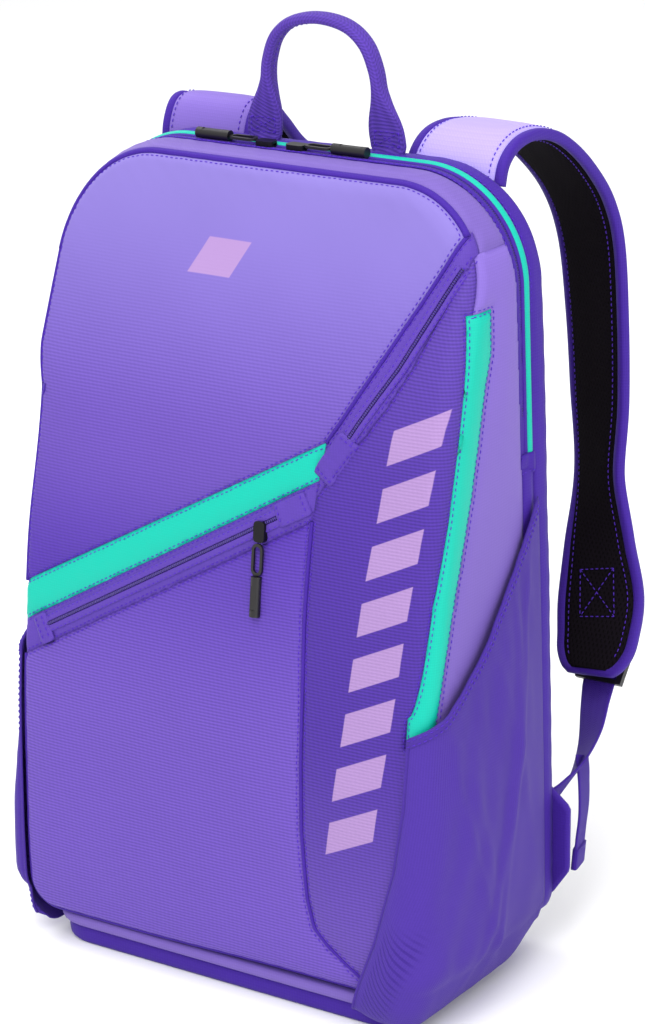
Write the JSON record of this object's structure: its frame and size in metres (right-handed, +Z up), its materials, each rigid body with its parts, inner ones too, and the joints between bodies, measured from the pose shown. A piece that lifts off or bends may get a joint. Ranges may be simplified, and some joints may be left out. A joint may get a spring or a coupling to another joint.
{
  "type": "backpack",
  "caption": "Slim racket backpack with ribbed front panels, slanted front pocket, side pockets, haul handle and two padded straps.",
  "frame": {"origin": "centre of the base pad's rest face", "axes": "+Z up, -Y out of the front, +X towards the wearer's right, who faces +Y away from the bag's front"},
  "size_m": [0.332, 0.3125, 0.588],
  "materials": {
    "ribbed_fabric": "fine ribbed polyester",
    "smooth_fabric": "smooth coated polyester",
    "teal_fabric": "smooth teal fabric",
    "indigo_fabric": "dark indigo fabric",
    "stretch_fabric": "stretch knit",
    "black_mesh": "spacer mesh",
    "foam": "closed cell foam",
    "indigo_webbing": "woven webbing",
    "lining": "thin lining",
    "black_plastic": "moulded black"
  },
  "bodies": {
    "bag": {"back_foam": "foam", "back_panel": "black_mesh", "base_binding": "indigo_fabric", "base_pad": "indigo_fabric", "bottom_panel": "smooth_fabric", "diagonal_zip_band": "indigo_fabric", "front_accent_stripe": "teal_fabric", "front_panel_lower": "ribbed_fabric", "front_panel_upper": "ribbed_fabric", "front_pocket_lining": "lining", "front_pocket_zip_band": "indigo_fabric", "gusset_piping": "teal_fabric", "laptop_divider": "foam", "main_zip_tape": "indigo_fabric", "rear_gusset": "smooth_fabric", "ribbed_wrap_panel": "ribbed_fabric", "side_accent_stripe": "teal_fabric", "side_panel_left": "smooth_fabric", "side_panel_right": "smooth_fabric", "side_pocket_binding_left": "indigo_fabric", "side_pocket_binding_right": "indigo_fabric", "side_pocket_left": "stretch_fabric", "side_pocket_right": "stretch_fabric", "side_rear_bands": "indigo_fabric", "top_gusset": "smooth_fabric", "wing_tab_left": "indigo_webbing", "wing_tab_right": "indigo_webbing", "yoke": "indigo_webbing"},
    "handle": {"handle_grip": "indigo_webbing", "handle_feet": "indigo_webbing"},
    "strap_right": {"strap_outer_right": "smooth_fabric", "strap_foam_right": "foam", "strap_mesh_right": "black_mesh", "ladder_lock_right": "black_plastic"},
    "webbing_right": {"lower_webbing_right": "indigo_webbing", "webbing_tail_right": "indigo_webbing"},
    "strap_left": {"strap_outer_left": "smooth_fabric", "strap_foam_left": "foam", "strap_mesh_left": "black_mesh", "ladder_lock_left": "black_plastic"},
    "webbing_left": {"lower_webbing_left": "indigo_webbing", "webbing_tail_left": "indigo_webbing"},
    "main_zip_right_slider_body": {"main_zip_right_slider": "black_plastic"},
    "main_zip_right_pull": {"main_zip_right_loop": "black_plastic", "main_zip_right_grip": "black_plastic"},
    "main_zip_left_slider_body": {"main_zip_left_slider": "black_plastic"},
    "main_zip_left_pull": {"main_zip_left_loop": "black_plastic", "main_zip_left_grip": "black_plastic"},
    "front_zip_slider_body": {"front_zip_slider": "black_plastic"},
    "front_zip_pull": {"front_zip_loop": "black_plastic", "front_zip_grip": "black_plastic"},
    "side_zip_slider_body": {"side_zip_slider": "black_plastic"},
    "side_zip_pull": {"side_zip_loop": "black_plastic", "side_zip_grip": "black_plastic"}
  },
  "joints": [
    {"name": "handle_hinge", "type": "hinge", "parent": "bag", "child": "handle", "pos_m": [0, 0.073, 0.5105], "axis": [1, 0, 0], "range_deg": [-70, 60]},
    {"name": "strap_hinge_right", "type": "hinge", "parent": "bag", "child": "strap_right", "pos_m": [0.093, 0.082, 0.496], "axis": [1, 0, 0], "range_deg": [0, 15]},
    {"name": "webbing_hinge_right", "type": "hinge", "parent": "bag", "child": "webbing_right", "pos_m": [0.129, 0.09, 0.092], "axis": [1, 0, 0], "range_deg": [-20, 0]},
    {"name": "strap_hinge_left", "type": "hinge", "parent": "bag", "child": "strap_left", "pos_m": [-0.093, 0.082, 0.496], "axis": [1, 0, 0], "range_deg": [0, 15]},
    {"name": "webbing_hinge_left", "type": "hinge", "parent": "bag", "child": "webbing_left", "pos_m": [-0.129, 0.09, 0.092], "axis": [1, 0, 0], "range_deg": [-20, 0]},
    {"name": "main_zip_right_slide", "type": "slide", "parent": "bag", "child": "main_zip_right_slider_body", "axis": [1, 0, 0], "range_m": [0, 0.06]},
    {"name": "main_zip_right_pull_hinge", "type": "hinge", "parent": "main_zip_right_slider_body", "child": "main_zip_right_pull", "pos_m": [0.0041, 0.056, 0.5122], "axis": [0, -1, 0], "range_deg": [0, 75]},
    {"name": "main_zip_left_slide", "type": "slide", "parent": "bag", "child": "main_zip_left_slider_body", "axis": [-1, 0, 0], "range_m": [0, 0.06]},
    {"name": "main_zip_left_pull_hinge", "type": "hinge", "parent": "main_zip_left_slider_body", "child": "main_zip_left_pull", "pos_m": [-0.0331, 0.056, 0.5122], "axis": [0, 1, 0], "range_deg": [0, 75]},
    {"name": "front_zip_slide", "type": "slide", "parent": "bag", "child": "front_zip_slider_body", "axis": [-0.8835, -0.0817, -0.4612], "range_m": [0, 0.15]},
    {"name": "front_zip_pull_hinge", "type": "hinge", "parent": "front_zip_slider_body", "child": "front_zip_pull", "pos_m": [0.03, -0.04794, 0.29272], "axis": [-1, 0, 0], "range_deg": [0, 75]},
    {"name": "side_zip_slide", "type": "slide", "parent": "bag", "child": "side_zip_slider_body", "axis": [-0.0082, 0, 1], "range_m": [0, 0.06]},
    {"name": "side_zip_pull_hinge", "type": "hinge", "parent": "side_zip_slider_body", "child": "side_zip_pull", "pos_m": [-0.15768, -0.025, 0.2789], "axis": [0, 1, 0], "range_deg": [0, 75]}
  ]
}
